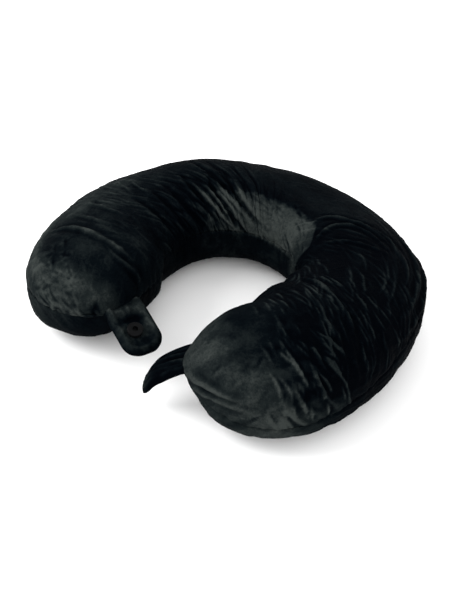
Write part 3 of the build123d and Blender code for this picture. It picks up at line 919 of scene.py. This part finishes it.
# --- tabs ---
def tab_frame(side, droop, shift):
    """Root of a tab and its axes: x out of the lobe, y across, z out of the upper face."""
    along = math.sqrt(1 - TIP_SHARE ** 2)
    a = math.radians(START + TURN * along)
    radius = SPINE_R - TIP_PULL * along * along
    s, c = side * math.sin(a), math.cos(a)
    tx, ty = side * c, -side * s
    x = radius * s + TAB_OUT * tx - shift * ty
    y = radius * c + TAB_OUT * ty + ARC_Y + shift * tx
    root = np.array((x, y, SEAM_Z))
    low, level = math.sin(math.radians(droop)), math.cos(math.radians(droop))
    ex = np.array((tx * level, ty * level, -low))
    ez = np.array((tx * low, ty * low, level))
    return root, ex, np.cross(ez, ex), ez, np.array((tx, ty, 0.0))


def tab_plan(length, width, corner, taper, lean):
    """Places over a tab with a round end: x, y and the distance from the sewn edge."""
    m, n = int(110 * FINE), int(72 * FINE)
    f = np.linspace(0, 1, m)[:, None]
    x = -5.0 + (length + 5.0) * (1 - (1 - f) ** 1.35)
    v = np.sin(np.linspace(-1, 1, n) * math.pi / 2)[None, :]
    xc, yc = length - corner, width / 2 - corner
    past = np.clip(x - xc, 0, corner)
    half = yc + np.sqrt(np.clip(corner * corner - past * past, 0, None))
    x = x + np.zeros((m, n))
    y = half * v
    qx, qy = x - xc, np.abs(y) - yc
    past_corner = np.hypot(np.maximum(qx, 0), np.maximum(qy, 0))
    inside = np.minimum(np.maximum(qx, qy), 0) + past_corner - corner
    edge = np.maximum(-inside, 0)
    share = np.clip(x / length, 0, 1)
    y = y * (1 - taper * share) + lean * np.clip(x, 0, None)
    return x, y, edge, share


def build_tab(name, side, droop, shift, plan, form, snap):
    """Upper and lower cloth of a tab."""
    root, ex, ey, ez, out = tab_frame(side, droop, shift)
    x, y, edge, share = tab_plan(*plan)
    middle, upper, lower = form(x, y, edge, share, *snap)
    for layer, z, swell in (("face", middle + upper, upper), ("back", middle - lower, lower)):
        local = (x[..., None] * ex + y[..., None] * ey + z[..., None] * ez) + root
        # tab tone: random variation with painted light on the swells and, on the right tab's face, on its
        # raised folds; painted shade at the left tab's root, in the dip above its snap and near its tip; the
        # right tab darker near its root, lighter towards its tip
        crease = noise(x / 3.4, y / 2.6, 140 + side) * 0.12
        pile = 0.46 + 0.20 * noise(x / 9, y / 7, 130 + side) + crease
        pile = pile + 0.13 * np.clip(swell - 2.6, -1.6, 1.8)
        if side < 0:
            pile = pile - 0.14 * bump_at(x, 2.0, 4.5)
            pile = pile + 0.02 - 0.26 * bump_at(x, 34, 6) - 0.42 * bump_at(x, 10.5, 3.2) * bump_at(y, 0, 9)
        else:
            pile = pile - 0.30 + 0.36 * smooth(26, 40, x)
            pile = pile + 0.16 * np.clip(upper - 2.9, -1, 1.5) * (layer == "face")
        obj = store(name + "_tab_" + layer + "_cloth", local, np.clip(pile, 0, 1))
        settle(obj, None, [name + "_tab_" + layer], MAT_TAB)
        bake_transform(obj)


SNAP_X = 20.2  # the snap's distance from the root of its tab


def flat_under(height, level, r):
    """Cloth held flat under a snap half."""
    hold = 1 - smooth(6.0, 8.6, r)
    return height * (1 - hold) + level * hold


def left_form(x, y, edge, _share, sx, sy):
    """Middle line, upper and lower height of the left tab: a plump loop dimpled round its snap."""
    r = np.hypot(x - sx, y - sy)
    turn = np.arctan2(y - sy, x - sx)
    thick = 1 - np.exp(-edge / 0.9)
    middle = 1.5 * np.sign(y) * smooth(6, 14, np.abs(y)) * smooth(0, 9, x) - 1.6 * smooth(29, 39.5, x)
    upper = thick * (2.2 + 2.1 * bump_at(edge, 4.2, 2.6) + 0.4 * noise(x / 6, y / 5, 101))
    upper = upper + thick * 2.6 * bump_at(x, 2.0, 3.6) * (0.8 + 0.4 * noise(y / 4, x / 9, 102))
    upper = upper - thick * 1.5 * bump_at(x, 10.6, 2.8) * bump_at(y, 1, 9)
    upper = upper + thick * 0.35 * np.cos(7 * turn) * bump_at(r, 9.2, 2.4)
    upper = flat_under(upper, 2.1, r)
    lower = 2.2 + 0.9 * bump_at(edge, 3.9, 2.7) + 0.5 * bump_at(r, 0, 6) + 0.3 * noise(x / 6, y / 5, 103)
    return middle, upper, thick * lower


def right_form(x, y, edge, share, sx, sy):
    """Middle line, upper and lower height of the right tab: arched, folded along its length."""
    across = y - x * 0.2
    r = np.hypot(x - sx, y - sy)
    thick = 1 - np.exp(-edge / 0.9)
    middle = 3.6 * np.sin(math.pi * np.clip(x / 44, 0, 1)) - 6.3 * np.clip((x - 24) / 20, 0, None) ** 1.6
    middle = middle - 4.2 * (across / 13) ** 2 * smooth(0.05, 0.6, share) * np.where(across > 0, 1, 0.15)
    fold = 1.5 * bump_at(across, 4.0 - 0.12 * x, 1.5) + 1.3 * bump_at(across, -3.6 + 0.03 * x, 1.4)
    fold = fold + 1.0 * bump_at(across, -9.0 + 0.14 * x, 1.3) - 1.3 * bump_at(across, 0.3, 1.5)
    fold = fold + 0.8 * bump_at(across, 9.4 - 0.17 * x, 1.3) - 0.8 * bump_at(across, -6.4, 1.4)
    upper = thick * (2.2 + 0.8 * bump_at(edge, 3.0, 2.2) + fold * (1 - 0.8 * smooth(28, 40, x)))
    upper = upper + thick * 0.35 * noise(x / 9, across / 3, 111)
    lower = thick * (2.2 + 0.6 * bump_at(edge, 3.0, 2.2) + 0.3 * noise(x / 9, y / 3, 113))
    hold = 1 - smooth(6.2, 9.5, r)
    lower = lower * (1 - hold) + (2.15 + middle) * hold
    return middle, upper, lower


def build_tabs():
    lean = math.sin(math.radians(2.0))
    snap = (SNAP_X, SNAP_X * lean - 1.8)
    build_tab("left", -1, 20.0, 6.8, (39.5, 31.2, 12.8, 0.0, lean), left_form, snap)
    lean = math.sin(math.radians(12.0))
    snap = (SNAP_X, SNAP_X * lean + 1.0)
    build_tab("right", 1, 32.0, 3.0, (42.8, 31.0, 9.0, 0.42, lean + 0.03), right_form, snap)


# --- zipper coils and label ---
COIL_ANGLE = 47.2  # half of the angle that the coils cover
COIL_TURNS = 156
COIL_BEHIND = 0.92  # from the outer wall in to the middle of the coil
COIL_DEEP, COIL_TALL = 0.55, 1.22
COIL_GAP = 1.42  # from the zipper's middle to the middle of a coil
WIRE = 0.3


def build_coil(side):
    """Nylon coil: a fine wire wound along the edge of the tape."""
    ring, sides = 10, 6
    count = COIL_TURNS * ring
    q = np.arange(count + 1) / count
    a = np.radians(-COIL_ANGLE + 2 * COIL_ANGLE * q)
    phase = 2 * math.pi * COIL_TURNS * q + (math.pi if side < 0 else 0)
    r = OUTER_R - COIL_BEHIND + COIL_DEEP * np.cos(phase)
    z = ZIP_Z + side * (COIL_GAP + COIL_TALL * np.sin(phase))
    line = np.stack([r * np.sin(a), r * np.cos(a) + ARC_Y, z], axis=-1)
    run = np.gradient(line, axis=0)
    run /= np.linalg.norm(run, axis=1, keepdims=True)
    up = np.cross(run, np.stack([np.sin(a), np.cos(a), 0 * a], axis=-1))
    up /= np.linalg.norm(up, axis=1, keepdims=True)
    other = np.cross(run, up)
    rings = []
    for k in range(sides):
        w = 2 * math.pi * k / sides
        rings.append(line + WIRE * (math.cos(w) * up + math.sin(w) * other))
    grid = np.stack(rings, axis=1)
    obj = store("coil_upper" if side > 0 else "coil_lower", grid, None, closed=True, merge=1e-7)
    node = "zipper_coil_upper" if side > 0 else "zipper_coil_lower"
    settle(obj, "pillow", [node], MAT_COIL)


LABEL_WIDE, LABEL_LONG = 20, 18
LABEL_ANGLE = -54.5


def build_label():
    """Blank satin care label sewn into the top seam, curling a little at its free edge."""
    across = np.linspace(-LABEL_WIDE / 2, LABEL_WIDE / 2, 44)[:, None]
    down = np.linspace(0, LABEL_LONG, 40)[None, :]
    free = down / LABEL_LONG
    lift = 1.6 + 1.3 * free ** 2 + 0.35 * np.sin(across * 0.42 + 0.6) * free
    r = OUTER_R + lift
    a = np.radians(LABEL_ANGLE) + across / OUTER_R
    z = SEAM_Z - 0.4 - down * 0.992 + 0 * across
    grid = np.stack([r * np.sin(a), r * np.cos(a) + ARC_Y, z], axis=-1)
    obj = store("care_label_cloth", grid)
    settle(obj, "pillow", ["care_label"], MAT_LABEL)


build_pillow()
build_inside()
build_tabs()
build_coil(1)
build_coil(-1)
build_label()

# --- CAD pieces that keep their shape ---
for node, mat in (
    ("zipper_tape_upper", MAT_TAPE), ("zipper_tape_lower", MAT_TAPE),
    ("zipper_top_stops", MAT_METAL), ("zipper_bottom_stop", MAT_METAL),
    ("zipper_slider", MAT_METAL), ("zipper_pull", MAT_METAL),
    ("left_snap_cap", MAT_SNAP), ("left_snap_socket", MAT_SNAP),
    ("right_snap_cap", MAT_SNAP), ("right_snap_stud", MAT_SNAP),
):
    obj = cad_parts[node]
    obj.data.materials.clear()
    obj.data.materials.append(mat)


# --- stage, light and camera ---
def build_stage():
    """A wide pale floor under an even white sky."""
    me = bpy.data.meshes.new("floor")
    size = 6.0
    corners = [(-size, -size, 0), (size, -size, 0), (size, size, 0), (-size, size, 0)]
    me.from_pydata(corners, [], [(0, 1, 2, 3)])
    floor = new_object("floor", me)
    mat, tree, shader = new_material("floor")
    shader.inputs["Base Color"].default_value = (0.92, 0.92, 0.92, 1)
    shader.inputs["Roughness"].default_value = 0.9
    shader.inputs["Specular IOR Level"].default_value = 0.1
    me.materials.append(mat)
    world = bpy.data.worlds.new("studio")
    bpy.context.scene.world = world
    world.use_nodes = True
    sky = world.node_tree.nodes["Background"]
    sky.inputs[0].default_value = (1, 1, 1, 1)
    sky.inputs[1].default_value = 1.5


def area_light(name, place, target, size, power):
    """A soft square light; size and place in metres, power in watts."""
    data = bpy.data.lights.new(name, "AREA")
    data.shape = "RECTANGLE"
    data.size, data.size_y = size
    data.energy = power
    obj = new_object(name, data)
    obj.location = place
    direction = Vector(target) - Vector(place)
    obj.rotation_euler = direction.to_track_quat("-Z", "Y").to_euler()


# Camera: azimuth, elevation and roll in degrees, distance in millimetres, how far it aims to the
# right of and above the pillow's middle, focal length for a sensor whose long side is 1.
CAMERA_TURN = (34.294, 39.921, 2.382)
CAMERA_DISTANCE = 655.454
CAMERA_AIM = (-1.355, -23.252)
CAMERA_FOCUS = 1.38454
SENSOR = 36


def build_camera():
    """The viewpoint of the photograph."""
    az, el, roll = (math.radians(v) for v in CAMERA_TURN)
    back = Vector((math.sin(az) * math.cos(el), -math.cos(az) * math.cos(el), math.sin(el)))
    right = Vector((math.cos(az), math.sin(az), 0))
    up = back.cross(right)
    x_axis = right * math.cos(roll) + up * math.sin(roll)
    y_axis = up * math.cos(roll) - right * math.sin(roll)
    target = Vector((0, ARC_Y, 45)) + right * CAMERA_AIM[0] + up * CAMERA_AIM[1]
    place = (target + back * CAMERA_DISTANCE) * MM
    data = bpy.data.cameras.new("camera")
    data.sensor_width = SENSOR
    data.lens = CAMERA_FOCUS * SENSOR
    data.clip_start = 0.01
    obj = new_object("camera", data)
    m = Matrix((x_axis, y_axis, back)).transposed().to_4x4()
    m.translation = place
    obj.matrix_world = m
    bpy.context.scene.camera = obj


build_stage()
area_light("key", (-0.9, -0.7, 1.0), (0, 0, 0.04), (0.8, 0.8), 16)
area_light("fill", (0.9, -0.9, 1.1), (0, 0, 0.04), (0.8, 0.8), 3)
build_camera()
bpy.context.scene.view_settings.view_transform = "Standard"
